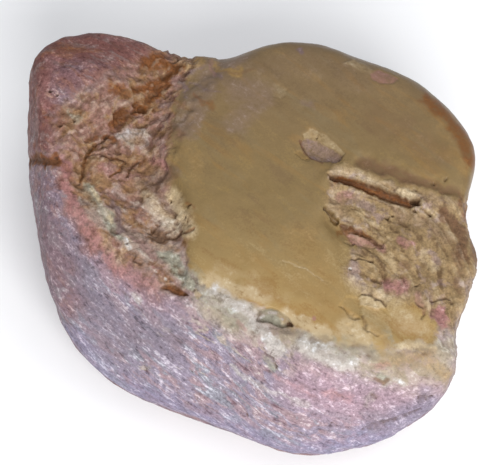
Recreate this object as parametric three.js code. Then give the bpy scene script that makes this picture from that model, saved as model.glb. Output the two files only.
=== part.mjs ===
// Rough quartzite: one broken cobble. A rounded pink rind wraps a smooth tan face on top,
// with a rough trough down its left side and broken terraces on its right.
// Millimetres, +Z up, +Y away from the front. The stone rests on a small flat spot underneath.
import * as THREE from "three";
import { ImprovedNoise } from "three/addons/math/ImprovedNoise.js";
import { mergeVertices } from "three/addons/utils/BufferGeometryUtils.js";

// Driving dimensions of the whole stone, from its middle
const HALF_WIDTH = 81;
const HALF_DEPTH = 74;
const HALF_HEIGHT = 38;
const FLOOR_BELOW_MIDDLE = 46;
const CORE_BELOW_MIDDLE = 10; // the point that the surface is worked out from
const TRIANGLE_ROWS = 21; // subdivision of the starting sphere, 9,680 triangles
const TRIANGLE_LIFT = 24; // lifts the starting sphere, so that more triangles fall on the broken top
const EVENING_PASSES = 10; // how often the triangles are evened out over the surface
const SURFACE_STEP = 0.001; // how closely each point is brought to the surface

// The outline as it shows from the front, to an eye this high above level and this far away.
// Points run anticlockwise from the right: millimetres right of and above the stone's middle.
const EYE_ELEVATION = THREE.MathUtils.degToRad(57);
const EYE_DISTANCE = 650;
const OUTLINE = [
  [81.4, 29.5],
  [74.5, 41],
  [66, 49.5],
  [56.5, 56],
  [45.7, 60.4],
  [36.7, 63.5],
  [25.2, 68],
  [13.7, 69.4],
  [4.3, 67.2],
  [-5.4, 63.5],
  [-14.8, 62],
  [-25.6, 62.8],
  [-32.4, 65.3],
  [-41, 69.7],
  [-52.2, 72.6],
  [-66, 73.4],
  [-75, 69.7],
  [-78.7, 62],
  [-79.5, 47.7],
  [-79.5, 29.7],
  [-78.3, 11.7],
  [-75, -6.5],
  [-70.9, -24.6],
  [-62.2, -43],
  [-50.3, -55.2],
  [-32.8, -62.6],
  [-14.2, -69],
  [0, -74.7],
  [14.5, -79.7],
  [27.2, -80.4],
  [49, -74.4],
  [64.2, -64.4],
  [71.3, -55.8],
  [74.6, -46.4],
  [73.3, -38.2],
  [77.4, -26],
  [81.7, -10.6],
  [78.5, -0.9],
  [77, 6.3],
  [79.6, 17],
];

// Broad faces of the rounded rind: the way each looks, and its distance from the middle
const OUTLINE_ROUNDNESS = 1.4;
const RIND_ROUNDNESS = 3;
const RIND_FACES = [
  { looks: [-0.87, -0.2, 0.45], distance: 71 }, // left wall
  { looks: [-0.7, 0, -0.7], distance: 76 }, // left underside
  { looks: [-0.6, -0.58, 0.56], distance: 57 }, // front left shoulder
  { looks: [-0.72, -0.69, 0], distance: 74 }, // front left wall
  { looks: [-0.45, -0.6, -0.66], distance: 77 }, // front left underside
  { looks: [-0.26, -0.48, 0.84], distance: 38 }, // front shoulder
  { looks: [-0.43, -0.81, 0.38], distance: 50 }, // front slope
  { looks: [-0.47, -0.88, 0], distance: 69 }, // front wall
  { looks: [-0.1, -0.7, -0.7], distance: 79 }, // front underside
  { looks: [0.06, -0.6, 0.8], distance: 51 }, // front right shoulder
  { looks: [0.1, -0.94, 0.32], distance: 68 }, // front right slope
  { looks: [0.1, -0.99, -0.05], distance: 82 }, // front right wall
  { looks: [0.75, -0.2, 0.62], distance: 76 }, // right shoulder
  { looks: [0.98, 0, -0.2], distance: 80 }, // right wall
  { looks: [0.7, -0.1, -0.7], distance: 76 }, // right underside
  { looks: [-0.7, 0.7, 0], distance: 101 }, // back left corner
  { looks: [0, 1, 0.05], distance: 74 }, // back wall
  { looks: [0, 0.7, -0.7], distance: 69 }, // back underside
];

// The belly is part of a large ball, cut off flat where the stone rests
const BELLY = { at: [5, -8], radius: 170, below: 51 };

// The smooth tan face: a gently sloping plane over the middle, and how sharply the rind meets it
const TAN_HEIGHT = 21;
const TAN_FALL_RIGHT = 0.05;
const TAN_RISE_BACK = 0.06;
const TAN_ROUNDNESS = 2.2;

// The tan face's broken left edge in plan, from back to front, and the trough beside it
const TAN_EDGE = [
  [-6, 80],
  [-10, 58],
  [-21, 41],
  [-27.5, 16],
  [-20, -7],
  [-22, -17],
  [-20, -28],
  [-21, -60],
];
const EDGE_STEP = 3;
const EDGE_WIDTH = 3.5;
const TROUGH = { middle: -15, halfWidth: 16, depth: 4.5 };
const HUMP = { at: [-58, 51], radius: 22, height: 7 };

// The lower terrace on the right: corners in plan, the drop to it and the slope of its edge
const TERRACE = [
  [28, 11],
  [60, 0],
  [95, -8],
  [95, -52],
  [57, -55],
  [45, -49],
  [35, -38],
  [27, -3],
];
const TERRACE_DROP = 2.6;
const TERRACE_EDGE = 2.5;

// Grooves and scars in plan: each runs from one point to another, with its half width and depth
const HOLLOWS = [
  { from: [29, 9], to: [59, -1], halfWidth: 5.5, depth: 4 }, // slot under the ledge
  { from: [22, 23], to: [28, 20], halfWidth: 7, depth: 2.2 }, // oval scar
  { from: [28, -6], to: [46, -18], halfWidth: 5, depth: 2.2 }, // wedge crack
  { from: [5, -45], to: [12, -48], halfWidth: 5, depth: 2.6 }, // grey pit on the front edge
  { from: [-47, 30], to: [-38, 37], halfWidth: 6, depth: 3 }, // rusty hollow beside the hump
];

// Natural unevenness: broad lumps over the rind, hackly steps in the trough and on the terrace
const LUMPS = { size: 26, height: 1.6 };
const HACKLE = { size: 11, inTrough: 3, onTerrace: 1.6 };

const noise = new ImprovedNoise();
const lumpAt = (p, size) => noise.noise(p.x / size, p.y / size, p.z / size);

// How far along the outline's plane the surface may reach, by angle round the middle
const outlineCurve = new THREE.CatmullRomCurve3(
  OUTLINE.map(([right, up]) => new THREE.Vector3(right, up, 0)),
  true,
);
const outlineRing = outlineCurve
  .getPoints(OUTLINE.length * 12)
  .map((point) => ({ angle: Math.atan2(point.y, point.x), reach: Math.hypot(point.x, point.y) }))
  .sort((a, b) => a.angle - b.angle);

function outlineReach(angle) {
  const after = outlineRing.findIndex((entry) => entry.angle >= angle);
  const next = outlineRing[Math.max(after, 0)];
  const last = outlineRing[after > 0 ? after - 1 : outlineRing.length - 1];
  const gap = THREE.MathUtils.euclideanModulo(next.angle - last.angle, 2 * Math.PI);
  const share = gap > 0 ? THREE.MathUtils.euclideanModulo(angle - last.angle, 2 * Math.PI) / gap : 0;
  return THREE.MathUtils.lerp(last.reach, next.reach, share);
}

// How far a point lies outside the outline, as the eye sees it
function outsideOutline(p) {
  const up = p.y * Math.sin(EYE_ELEVATION) + p.z * Math.cos(EYE_ELEVATION);
  const toward = p.z * Math.sin(EYE_ELEVATION) - p.y * Math.cos(EYE_ELEVATION);
  const nearer = 1 - toward / EYE_DISTANCE;
  return Math.hypot(p.x, up) / nearer - outlineReach(Math.atan2(up, p.x));
}

// The largest of several distances, with its corners rounded
function roundedMax(distances, roundness) {
  const peak = Math.max(...distances);
  const total = distances.reduce((sum, d) => sum + Math.exp((d - peak) / roundness), 0);
  return peak + roundness * Math.log(total);
}

const rindPlanes = RIND_FACES.map(
  ({ looks, distance }) => new THREE.Plane(new THREE.Vector3(...looks).normalize(), -distance),
);

// Plan distance from a point to the line between two others
function distanceToLine(x, y, [x0, y0], [x1, y1]) {
  const along = ((x - x0) * (x1 - x0) + (y - y0) * (y1 - y0)) / ((x1 - x0) ** 2 + (y1 - y0) ** 2);
  const share = THREE.MathUtils.clamp(along, 0, 1);
  return Math.hypot(x - x0 - share * (x1 - x0), y - y0 - share * (y1 - y0));
}

// Plan distance to the tan face's left edge, positive on the tan side
function tanSide(x, y) {
  let best = Infinity;
  let side = 1;
  for (let i = 1; i < TAN_EDGE.length; i += 1) {
    const [from, to] = [TAN_EDGE[i - 1], TAN_EDGE[i]];
    const distance = distanceToLine(x, y, from, to);
    if (distance < best) {
      best = distance;
      const cross = (to[0] - from[0]) * (y - from[1]) - (to[1] - from[1]) * (x - from[0]);
      side = Math.sign(cross);
    }
  }
  return best * side;
}

// Plan distance inside a closed outline, negative outside it
function insideBy(x, y, corners) {
  let best = Infinity;
  let inside = false;
  corners.forEach((to, i) => {
    const from = corners[(i + corners.length - 1) % corners.length];
    best = Math.min(best, distanceToLine(x, y, from, to));
    const crosses = from[1] > y !== to[1] > y;
    if (crosses && x < from[0] + ((y - from[1]) * (to[0] - from[0])) / (to[1] - from[1])) inside = !inside;
  });
  return inside ? best : -best;
}

// Height of the tan face's plane over the stone's middle
const tanHeight = (p) => TAN_HEIGHT - TAN_FALL_RIGHT * p.x + TAN_RISE_BACK * p.y;

// How far the broken top stands over the tan face's plane, at a place in plan
function topRelief(p) {
  const { x, y } = p;
  const side = tanSide(x, y);
  const broken = 1 - THREE.MathUtils.smoothstep(side, -EDGE_WIDTH, EDGE_WIDTH / 2);
  const across = (side - TROUGH.middle) / TROUGH.halfWidth;
  const humpRange = Math.hypot(x - HUMP.at[0], y - HUMP.at[1]) / HUMP.radius;
  const onTerrace = THREE.MathUtils.smoothstep(insideBy(x, y, TERRACE), -TERRACE_EDGE, TERRACE_EDGE);
  let height = HUMP.height * Math.exp(-humpRange * humpRange);
  height -= broken * (EDGE_STEP + TROUGH.depth * Math.exp(-across * across));
  height -= onTerrace * TERRACE_DROP;
  height += (broken * HACKLE.inTrough + onTerrace * HACKLE.onTerrace) * lumpAt(p, HACKLE.size);
  for (const { from, to, halfWidth, depth } of HOLLOWS) {
    height -= depth * (1 - THREE.MathUtils.smoothstep(distanceToLine(x, y, from, to), 0, halfWidth));
  }
  return height;
}

const bellyBall = new THREE.Sphere(
  new THREE.Vector3(...BELLY.at, BELLY.radius - BELLY.below),
  BELLY.radius,
);

// How far a point lies outside the rounded rind
function outsideRind(p) {
  const faces = rindPlanes.map((plane) => plane.distanceToPoint(p));
  const rounded = roundedMax([bellyBall.distanceToPoint(p), ...faces], RIND_ROUNDNESS);
  const lumpy = rounded - LUMPS.height * lumpAt(p, LUMPS.size);
  return roundedMax([outsideOutline(p), lumpy], OUTLINE_ROUNDNESS);
}

// How far a point lies outside the stone, before the top's relief
function outsideStone(p) {
  const split = roundedMax([outsideRind(p), p.z - tanHeight(p)], TAN_ROUNDNESS);
  return Math.max(split, -FLOOR_BELOW_MIDDLE - p.z);
}

// Share of the tan face's plane in the surface at a point: 1 on it, 0 on the rind
function topShare(p) {
  return 1 / (1 + Math.exp((outsideRind(p) - (p.z - tanHeight(p))) / TAN_ROUNDNESS));
}

const core = new THREE.Vector3(0, 0, -CORE_BELOW_MIDDLE);

// An arm from the core, made just long enough to reach the surface
function reachSurface(arm) {
  const direction = arm.clone().normalize();
  const probe = new THREE.Vector3();
  let inner = 0;
  let outer = 2 * HALF_WIDTH;
  while (outer - inner > SURFACE_STEP) {
    const half = (inner + outer) / 2;
    probe.copy(core).addScaledVector(direction, half);
    if (outsideStone(probe) > 0) outer = half;
    else inner = half;
  }
  return direction.multiplyScalar(inner);
}

// Turns each arm towards the middle of its neighbours, so that the triangles come out even
function evenOut(arms, corners) {
  const turned = arms.map(() => new THREE.Vector3());
  for (let i = 0; i < corners.length; i += 3) {
    const [a, b, c] = corners.slice(i, i + 3);
    turned[a].add(arms[b]).add(arms[c]);
    turned[b].add(arms[c]).add(arms[a]);
    turned[c].add(arms[a]).add(arms[b]);
  }
  return turned.map(reachSurface);
}

// The stone: a sphere squashed to the stone's proportions, each point then moved to the surface
function stoneGeometry() {
  const ball = new THREE.IcosahedronGeometry(1, TRIANGLE_ROWS);
  ball.deleteAttribute("normal");
  ball.deleteAttribute("uv");
  const geometry = mergeVertices(ball);
  const position = geometry.getAttribute("position");
  const corners = Array.from(geometry.getIndex().array);
  const proportions = new THREE.Vector3(HALF_WIDTH, HALF_DEPTH, HALF_HEIGHT);
  const lift = new THREE.Vector3(0, 0, TRIANGLE_LIFT);
  let arms = [];
  for (let i = 0; i < position.count; i += 1) {
    const start = new THREE.Vector3().fromBufferAttribute(position, i);
    arms.push(reachSurface(start.multiply(proportions).add(lift)));
  }
  for (let pass = 0; pass < EVENING_PASSES; pass += 1) {
    arms = evenOut(arms, corners);
  }
  arms.forEach((arm, i) => {
    const point = arm.clone().add(core);
    const resting = point.z < SURFACE_STEP * 2 - FLOOR_BELOW_MIDDLE;
    const height = point.z + topShare(point) * topRelief(point);
    position.setXYZ(i, point.x, point.y, resting ? -FLOOR_BELOW_MIDDLE : height);
  });
  geometry.computeBoundingBox();
  return geometry;
}

const quartzite = new THREE.MeshStandardMaterial({
  name: "quartzite",
  color: new THREE.Color().setRGB(0.62, 0.5, 0.42),
  roughness: 0.55,
  metalness: 0,
});

const stone = new THREE.Mesh(stoneGeometry(), quartzite);
stone.name = "stone";

// The part's origin is under the middle of the stone's box, on the surface it rests on
const { min, max } = stone.geometry.boundingBox;
stone.position.set(-(min.x + max.x) / 2, -(min.y + max.y) / 2, -min.z);

const part = new THREE.Group();
part.add(stone);

export default part;
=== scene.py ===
# %% [markdown]
# # A rough quartzite cobble
# The object is one natural stone. A pink and lilac rind wraps it, its top is a smooth tan face, and
# between the two the stone is broken into ledges, hollows and pits. The solid that is loaded here
# has the stone's real size and main forms. This lesson refines a copy of it, cuts the fine relief
# into that copy, and paints it with a procedural material.

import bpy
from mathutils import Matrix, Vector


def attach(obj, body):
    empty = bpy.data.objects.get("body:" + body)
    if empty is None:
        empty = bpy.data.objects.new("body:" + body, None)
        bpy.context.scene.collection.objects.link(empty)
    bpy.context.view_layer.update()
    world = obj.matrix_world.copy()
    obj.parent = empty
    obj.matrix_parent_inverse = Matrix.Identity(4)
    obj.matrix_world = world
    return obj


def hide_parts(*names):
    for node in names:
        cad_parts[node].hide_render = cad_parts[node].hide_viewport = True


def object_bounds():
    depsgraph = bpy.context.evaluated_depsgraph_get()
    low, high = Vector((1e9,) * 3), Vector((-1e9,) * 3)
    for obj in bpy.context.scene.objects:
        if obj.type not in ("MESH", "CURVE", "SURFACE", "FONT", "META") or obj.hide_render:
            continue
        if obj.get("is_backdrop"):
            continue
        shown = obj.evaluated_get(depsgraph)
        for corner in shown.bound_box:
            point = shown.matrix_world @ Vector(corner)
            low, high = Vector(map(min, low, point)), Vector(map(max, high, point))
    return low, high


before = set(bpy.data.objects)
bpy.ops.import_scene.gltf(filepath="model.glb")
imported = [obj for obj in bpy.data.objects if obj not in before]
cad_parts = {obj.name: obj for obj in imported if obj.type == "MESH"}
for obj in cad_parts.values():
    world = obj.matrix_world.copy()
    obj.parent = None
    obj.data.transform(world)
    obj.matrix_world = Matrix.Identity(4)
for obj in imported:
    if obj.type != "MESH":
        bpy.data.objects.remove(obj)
cad_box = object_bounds()
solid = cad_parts["stone"]
print("solid:", len(solid.data.polygons), "triangles, box", [tuple(corner) for corner in cad_box])

# %% [markdown]
# ## The picture's view
# The stone is seen from in front and well above, so the broken top and the front rind both show.
# Features are placed by the pixel where the picture shows them. For that, each point of the surface
# is projected to the picture, with the same eye that the camera gets at the end.

# %% Where a point of the stone shows in the picture
import math
import numpy as np
from mathutils import Vector

MM = 0.001
MIDDLE = Vector((0.71, -0.03, 46.0)) * MM  # the point of the stone that the eye looks at
EYE_ELEVATION = math.radians(57)
EYE_DISTANCE = 650 * MM
PICTURE_SIZE = np.array((500, 465))
PIXEL = 0.36 * MM  # what one pixel covers at the middle of the stone

TOWARD_EYE = Vector((0, -math.cos(EYE_ELEVATION), math.sin(EYE_ELEVATION)))
PICTURE_UP = Vector((0, math.sin(EYE_ELEVATION), math.cos(EYE_ELEVATION)))


def picture_spots(points):
    """Column and row, in pixels, where each point shows in the picture."""
    arms = points - np.array(MIDDLE)
    nearness = 1 - arms @ np.array(TOWARD_EYE) / EYE_DISTANCE
    right = arms[:, 0] / nearness / PIXEL
    up = arms @ np.array(PICTURE_UP) / nearness / PIXEL
    return PICTURE_SIZE / 2 + np.column_stack((right, -up))


print("eye at", tuple(MIDDLE + EYE_DISTANCE * TOWARD_EYE))

# %% [markdown]
# ## Outlines and strokes
# A natural surface has no edges to snap to, so its features are drawn as closed outlines for the main
# areas, and short strokes for cracks, pits and stains. Two helpers measure how far each spot lies from
# a stroke, or inside an outline.

# %% Distances in the picture
def ease(values, low, high):
    """A smooth step from 0 at low to 1 at high."""
    share = np.clip((values - low) / (high - low), 0, 1)
    return share * share * (3 - 2 * share)


def distance_to(spots, stroke):
    """Pixels from each spot to the nearest part of a stroke, which may be a single point."""
    nearest = np.full(len(spots), np.inf)
    for start, end in zip(stroke, stroke[1:] or stroke):
        start, step = np.array(start, float), np.subtract(end, start)
        share = np.clip((spots - start) @ step / max(step @ step, 1e-9), 0, 1)
        nearest = np.minimum(nearest, np.linalg.norm(spots - start - share[:, None] * step, axis=1))
    return nearest


def depth_inside(spots, outline):
    """Pixels inside a closed outline, negative outside it."""
    inside = np.zeros(len(spots), bool)
    columns, rows = spots.T
    for (x0, y0), (x1, y1) in zip(outline, outline[1:] + outline[:1]):
        crosses = (y0 > rows) != (y1 > rows)
        inside ^= crosses & (columns < x0 + (rows - y0) * (x1 - x0) / ((y1 - y0) or 1e-9))
    edge = distance_to(spots, outline + outline[:1])
    return np.where(inside, edge, -edge)


UNIT_SQUARE = [(0, 0), (1, 0), (1, 1), (0, 1)]
middle_depth = depth_inside(np.array([(0.5, 0.5)]), UNIT_SQUARE)
print("a unit square's middle lies", float(middle_depth[0]), "inside it")

# %% The main areas of the stone, outlined in pixels
TAN_FACE = [
    (222, 50), (262, 38), (288, 34), (348, 46), (407, 70), (457, 110), (484, 147), (478, 190),
    (466, 204), (419, 189), (375, 176), (334, 163), (325, 186), (328, 208), (350, 240), (345, 262),
    (350, 285), (362, 292), (384, 304), (412, 300), (430, 313), (432, 334), (418, 346), (385, 350),
    (350, 345), (300, 332), (262, 309), (240, 299), (205, 285), (187, 268), (183, 240), (188, 216),
    (176, 200), (166, 180), (172, 155), (176, 130), (180, 105), (186, 80), (196, 62),
]
BROKEN_TROUGH = [
    (140, 60), (165, 48), (198, 48), (196, 62), (186, 80), (180, 105), (176, 130), (172, 155),
    (166, 180), (176, 200), (188, 216), (183, 240), (187, 268), (205, 285), (190, 302), (165, 292),
    (130, 272), (100, 250), (78, 218), (64, 180), (58, 150), (54, 125), (62, 106), (84, 92), (112, 76),
]
TERRACE = [
    (334, 163), (375, 176), (419, 189), (470, 204), (484, 260), (470, 305), (456, 338), (438, 334),
    (430, 313), (412, 300), (384, 304), (362, 292), (350, 285), (345, 262), (350, 240), (328, 208),
    (325, 186),
]
SLOT = [(340, 181), (354, 186), (376, 195), (398, 203), (413, 205)]
PALE_BAND = [
    (186, 268), (205, 285), (240, 299), (262, 309), (300, 332), (350, 342), (385, 346), (418, 346),
    (436, 332), (458, 340), (460, 368), (442, 388), (410, 390), (382, 383), (350, 372), (318, 360),
    (288, 350), (258, 344), (228, 332), (204, 316), (186, 298),
]
BEND = (320, 320)  # the terrace's ridges curve round this pixel
WORN_EDGE = [(208, 64), (190, 95), (178, 125), (170, 152)]  # smoother than the trough beside it
BOSS = [(150, 202), (166, 222), (184, 228), (178, 196)]  # smoother too
print("areas:", [len(area) for area in (TAN_FACE, BROKEN_TROUGH, TERRACE, PALE_BAND)], "corners")

# %% [markdown]
# ## Hollows and flakes with a clear edge
# Some features have an outline of their own: a tapering slot, wedge-shaped hollows, an oval scar and
# thin flakes. Each has a height in millimetres, negative for a hollow, and a stain that fills it with
# some strength.

# %% Outlined hollows and flakes
SHAPES = {
    "slot": (-2.8, "umber", 1.0, [
        (328, 174), (352, 180), (368, 183), (384, 189), (400, 195), (410, 198), (420, 199), (421, 205),
        (410, 207), (395, 205), (384, 201), (373, 195), (360, 189), (344, 184), (332, 179),
    ]),
    "wedge": (-0.6, "rose", 0.4, [
        (337, 223), (346, 226), (356, 231), (366, 236), (376, 242), (384, 248), (374, 250), (362, 248),
        (352, 243), (344, 234),
    ]),
    "amber wedge": (-1.2, "rust", 0.9, [
        (160, 288), (166, 285), (171, 284), (176, 286), (181, 290), (187, 296), (178, 295), (170, 292),
    ]),
    "rhomb": (-0.3, "cream", 0.6, [(190, 290), (196, 287), (203, 295), (197, 300)]),
    "leaf flake": (0.5, "cream", 0.8, [
        (358, 298), (362, 294), (370, 294), (377, 298), (382, 304), (384, 309), (378, 310), (368, 308),
        (361, 304),
    ]),
    "sunken corner": (-0.5, "cream", 0.2, [
        (338, 306), (349, 315), (355, 320), (360, 317), (362, 306), (358, 297), (346, 297),
    ]),
    "raised corner": (0.25, "cream", 0.4, [
        (361, 306), (363, 317), (367, 328), (370, 335), (380, 337), (392, 334), (388, 318), (378, 308),
        (368, 304),
    ]),
    "oval scar": (-0.8, "plum", 0.65, [
        (301, 142), (303, 138), (308, 137), (319, 140), (328, 146), (336, 151), (342, 156), (341, 159),
        (336, 162), (328, 161), (319, 160), (311, 158), (305, 151),
    ]),
    # Its cream fill is partly the bevel's own colour and partly a painted highlight on the lit bevel.
    "scar bevel": (-0.3, "cream", 0.45, [
        (302, 133), (309, 128), (319, 131), (328, 134), (333, 140), (340, 149), (345, 154), (342, 156),
        (336, 151), (328, 146), (319, 140), (308, 137), (303, 138),
    ]),
    "scar chip": (-0.4, "gold", 0.6, [
        (297, 150), (294, 154), (302, 160), (309, 161), (310, 158), (303, 150),
    ]),
    "pink flake": (-0.3, "rose", 0.5, [
        (369, 74), (377, 70), (390, 74), (398, 80), (392, 84), (380, 83), (371, 80),
    ]),
    "pale flake": (0.2, "cream", 0.4, [
        (343, 64), (352, 61), (366, 66), (373, 72), (364, 73), (352, 69),
    ]),
    "round flake": (-0.15, "cream", 0.25, [
        (270, 90), (274, 84), (281, 83), (288, 88), (287, 95), (281, 99), (273, 97),
    ]),
    "grey pit": (-2.0, "green", 0.9, [
        (257, 320), (260, 312), (266, 309), (272, 308), (280, 312), (287, 318), (292, 326), (282, 326),
        (270, 323),
    ]),
}
print("shapes:", ", ".join(SHAPES))

# %% [markdown]
# ## Cracks, pits and bosses
# Each stroke has a half width in pixels and a height in millimetres, which is negative for a cut.
# They change the mesh and are more than dark lines, so they catch the light from every side.

# %% Strokes that are cut into the stone or stand out of it
STROKES = [
    (2.7, -1.5, [(414, 201), (418, 202)]),  # hole at the slot's end
    (6, 0.4, [(338, 168), (356, 172), (384, 183), (402, 189)]),  # lumpy ledge over the slot
    (4, 0.7, [(398, 190), (410, 193), (418, 195)]),
    (8, -0.7, [(360, 160), (400, 173), (440, 186), (462, 196)]),  # dip behind the ledge
    (2.6, -1.8, [(326, 209), (330, 215), (335, 222)]),  # notch in the tan edge
    (3.4, -0.9, [(340, 225), (350, 229), (364, 236), (378, 244)]),  # wedge's steep upper side
    (9, 0.5, [(344, 216), (362, 224)]),  # tongue above the wedge
    (1.3, -0.12, [(284, 260), (303, 269), (323, 280)]),  # scratch across the tan face
    (3, -0.6, [(286, 323), (290, 325)]),  # deep corner of the grey pit
    (9, -1.3, [(172, 58), (162, 84), (142, 106), (116, 122), (96, 138), (86, 160), (80, 182)]),  # gully
    (10, -2.0, [(119, 117), (123, 117)]),  # rusty hollows beside the hump
    (6.5, -1.8, [(142, 108), (144, 107)]),
    (2.2, -1.4, [(134, 111), (137, 110)]),
    (14, 1.5, [(152, 204), (166, 221)]),  # boss at the left of the tan face
    (3.2, -1.0, [(148, 232), (160, 237), (172, 237), (182, 232)]),  # undercut below the boss
    (5, 0.9, [(92, 106), (108, 106), (124, 103), (132, 104)]),  # rolled edge over the hollows
    (7, 1.1, [(122, 138), (134, 135), (142, 136)]),  # quartz boss
    (3, 0.8, [(121, 130), (131, 124), (142, 120), (152, 108)]),  # thin lip of the hollows
    (5, -1.3, [(33, 160), (45, 162), (55, 161)]),  # notch in the left wall
    (1.6, -0.9, [(109, 136), (103, 142), (93, 145), (87, 155), (84, 169), (80, 182)]),  # flake edges
    (1.8, -0.7, [(101, 147), (111, 152), (121, 152)]),
    (1.5, -0.8, [(101, 155), (112, 157), (125, 160), (120, 169), (109, 177)]),
    (7, 0.6, [(112, 150), (102, 160), (98, 172)]),
    (1.5, -0.8, [(138, 161), (130, 167), (127, 178)]),
    (1.6, -0.7, [(133, 252), (133, 262), (140, 264)]),
    (1.5, -0.5, [(184, 234), (193, 228)]),
    (1.6, -0.6, [(264, 352), (272, 357), (276, 366)]),
    (8, 1.0, [(166, 188), (177, 204), (184, 216), (184, 230)]),  # lip of the tan crust
    (13, 1.9, [(204, 62), (188, 90), (175, 122), (164, 150)]),  # worn edge of the tan face
    (1.5, -0.7, [(350, 260), (360, 259), (373, 261)]),
    (1.6, -0.6, [(361, 294), (370, 294), (378, 298), (384, 306)]),  # edge of the leaf-shaped flake
    (3.0, -0.7, [(340, 307), (347, 312), (353, 318), (358, 318)]),  # cracks in the front of the tan
    (1.6, -0.6, [(362, 314), (366, 325), (369, 333), (378, 336)]),
    (3.0, -0.4, [(352, 324), (353, 334)]),
    (1.5, -0.6, [(343, 241), (349, 244), (353, 243)]),
    (1.6, -0.7, [(374, 278), (380, 283)]),
    (1.8, -0.7, [(363, 431), (382, 423), (399, 418), (420, 410)]),
    (2.5, -1.0, [(418, 400), (432, 397)]),
    (1.6, -0.8, [(416, 302), (422, 308), (424, 313), (421, 318)]),
    (1.6, -0.7, [(432, 300), (446, 298), (452, 303)]),
    (4, -0.6, [(434, 308), (442, 322)]),
]
PITS = [
    (1.6, -1.2, [(51, 91), (57, 95), (73, 121), (62, 126), (128, 243), (186, 217), (172, 202)]),
    (2.2, -1.3, [(391, 217), (428, 215), (386, 218), (413, 212)]),
    (1.4, -0.9, [(436, 183), (447, 179), (350, 270), (417, 287), (317, 136), (189, 204), (306, 159)]),
    (2.0, -0.7, [(246, 417), (190, 372), (330, 424)]),
]
strokes = STROKES + [(width, rise, [spot]) for width, rise, spots in PITS for spot in spots]
print("relief:", len(STROKES), "strokes and", len(strokes) - len(STROKES), "pits")

# %% [markdown]
# ## A mesh that is fine where the stone is
# The solid has triangles of a few millimetres. Subdividing all of it evenly would spend most of the
# detail on the smooth underside. Instead each edge is split only while it is longer than the surface
# there needs: about one and a half millimetres on the tan face, and less than half of that along a
# crack.

# %% Copy the solid, merge its loose triangles and smooth them
import bmesh
import bpy

SMOOTHING_PASSES = 4

stone_mesh = bmesh.new()
stone_mesh.from_mesh(solid.data)
bmesh.ops.remove_doubles(stone_mesh, verts=stone_mesh.verts, dist=0.001 * MM)
bmesh.ops.subdivide_edges(stone_mesh, edges=stone_mesh.edges, cuts=1, use_grid_fill=True)
for _ in range(SMOOTHING_PASSES):
    bmesh.ops.smooth_vert(
        stone_mesh, verts=stone_mesh.verts, factor=0.5,
        use_axis_x=True, use_axis_y=True, use_axis_z=True,
    )
print("smooth copy:", len(stone_mesh.verts), "points")


# %% Fill the solid's wide groove, so that the narrow slot can be cut into the filling
def places_and_normals():
    """The mesh's points and outward directions, as arrays."""
    stone_mesh.normal_update()
    points = np.array([vertex.co for vertex in stone_mesh.verts])
    return points, np.array([vertex.normal for vertex in stone_mesh.verts])


GROOVE = [(29, 9), (59, -1)]  # its middle line in plan, in millimetres, as are the next two
GROOVE_DEPTH = 3.4
GROOVE_HALF_WIDTH = 5.5
points, normals = places_and_normals()
aside = distance_to(points[:, :2] / MM, GROOVE)
filling = GROOVE_DEPTH * (normals[:, 2] > 0) * (1 - ease(aside, 0, GROOVE_HALF_WIDTH))
for vertex, lift in zip(stone_mesh.verts, filling):
    vertex.co.z += lift * MM
print("groove filled by up to", round(filling.max(), 2), "mm")

# %% Split the edges that are too long
PLAIN_EDGE = 2.6 * MM
FRONT_EDGE = 1.5 * MM
ROUGH_EDGE = 0.95 * MM
CUT_EDGE = 0.6 * MM
MOST_PASSES = 4
FINE_STROKE = 4.5  # a half width in pixels: wider strokes need no finer mesh
RIM = 1.5  # pixels beside a cut that are as fine as the cut


def needed_edge(points, normals):
    """The longest edge that each place may keep."""
    spots = picture_spots(points)
    facing = normals @ np.array(TOWARD_EYE)
    rough = np.maximum.reduce([depth_inside(spots, area) for area in (BROKEN_TROUGH, TERRACE, PALE_BAND)])
    cuts = [distance_to(spots, line) - width for width, _, line in strokes if width < FINE_STROKE]
    edges = [-depth_inside(spots, outline) - RIM for *_, outline in SHAPES.values()]
    cut = np.minimum.reduce(cuts + edges)
    longest = np.where(facing > -0.1, FRONT_EDGE, PLAIN_EDGE)
    longest = np.where((facing > 0) & (rough > -2 * RIM), ROUGH_EDGE, longest)
    return np.where((facing > 0) & (cut < RIM), CUT_EDGE, longest)


for _ in range(MOST_PASSES):
    longest = needed_edge(*places_and_normals())
    stone_mesh.verts.index_update()
    long_edges = [
        edge for edge in stone_mesh.edges
        if edge.calc_length() > min(longest[vertex.index] for vertex in edge.verts)
    ]
    if not long_edges:
        break
    bmesh.ops.subdivide_edges(stone_mesh, edges=long_edges, cuts=1, use_grid_fill=True)
    bmesh.ops.triangulate(stone_mesh, faces=stone_mesh.faces)
    # Two flat triangles may be left back to back along a split edge. Both go.
    twins = [
        face for face in stone_mesh.faces
        if any(other != face and set(other.verts) == set(face.verts) for other in face.edges[0].link_faces)
    ]
    bmesh.ops.delete(stone_mesh, geom=twins, context="FACES")
print("refined:", len(stone_mesh.verts), "points,", len(stone_mesh.faces), "triangles")

# %% [markdown]
# ## Relief
# Weathered quartzite is lumpy at every size, so most of the relief is a cloud-like noise. Where the
# stone broke, it left ledges that rise slowly and drop off sharply, like worn steps. On the rind the
# noise is drawn out along the stone's bedding, which runs down to the right.

# %% Noise for lumps, ridges and ledges
from mathutils import noise

BEDDING = Vector((0.8, -0.5, -0.33)).normalized()
FLOW = Vector((0.75, -0.65, 0)).normalized()
LEDGE_FALL = Vector((-0.6, -0.8, 0)).normalized()
HUMP_FALL = Vector((0.45, -0.9, 0)).normalized()
TROUGH_RUN = Vector((0.8, 0.6, 0)).normalized()


def drawn_out(points, direction, stretch):
    """Points squeezed along one direction, so that a noise on them is drawn out along it."""
    along = points @ np.array(direction)
    return points - np.outer(along * (1 - 1 / stretch), direction)


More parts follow.
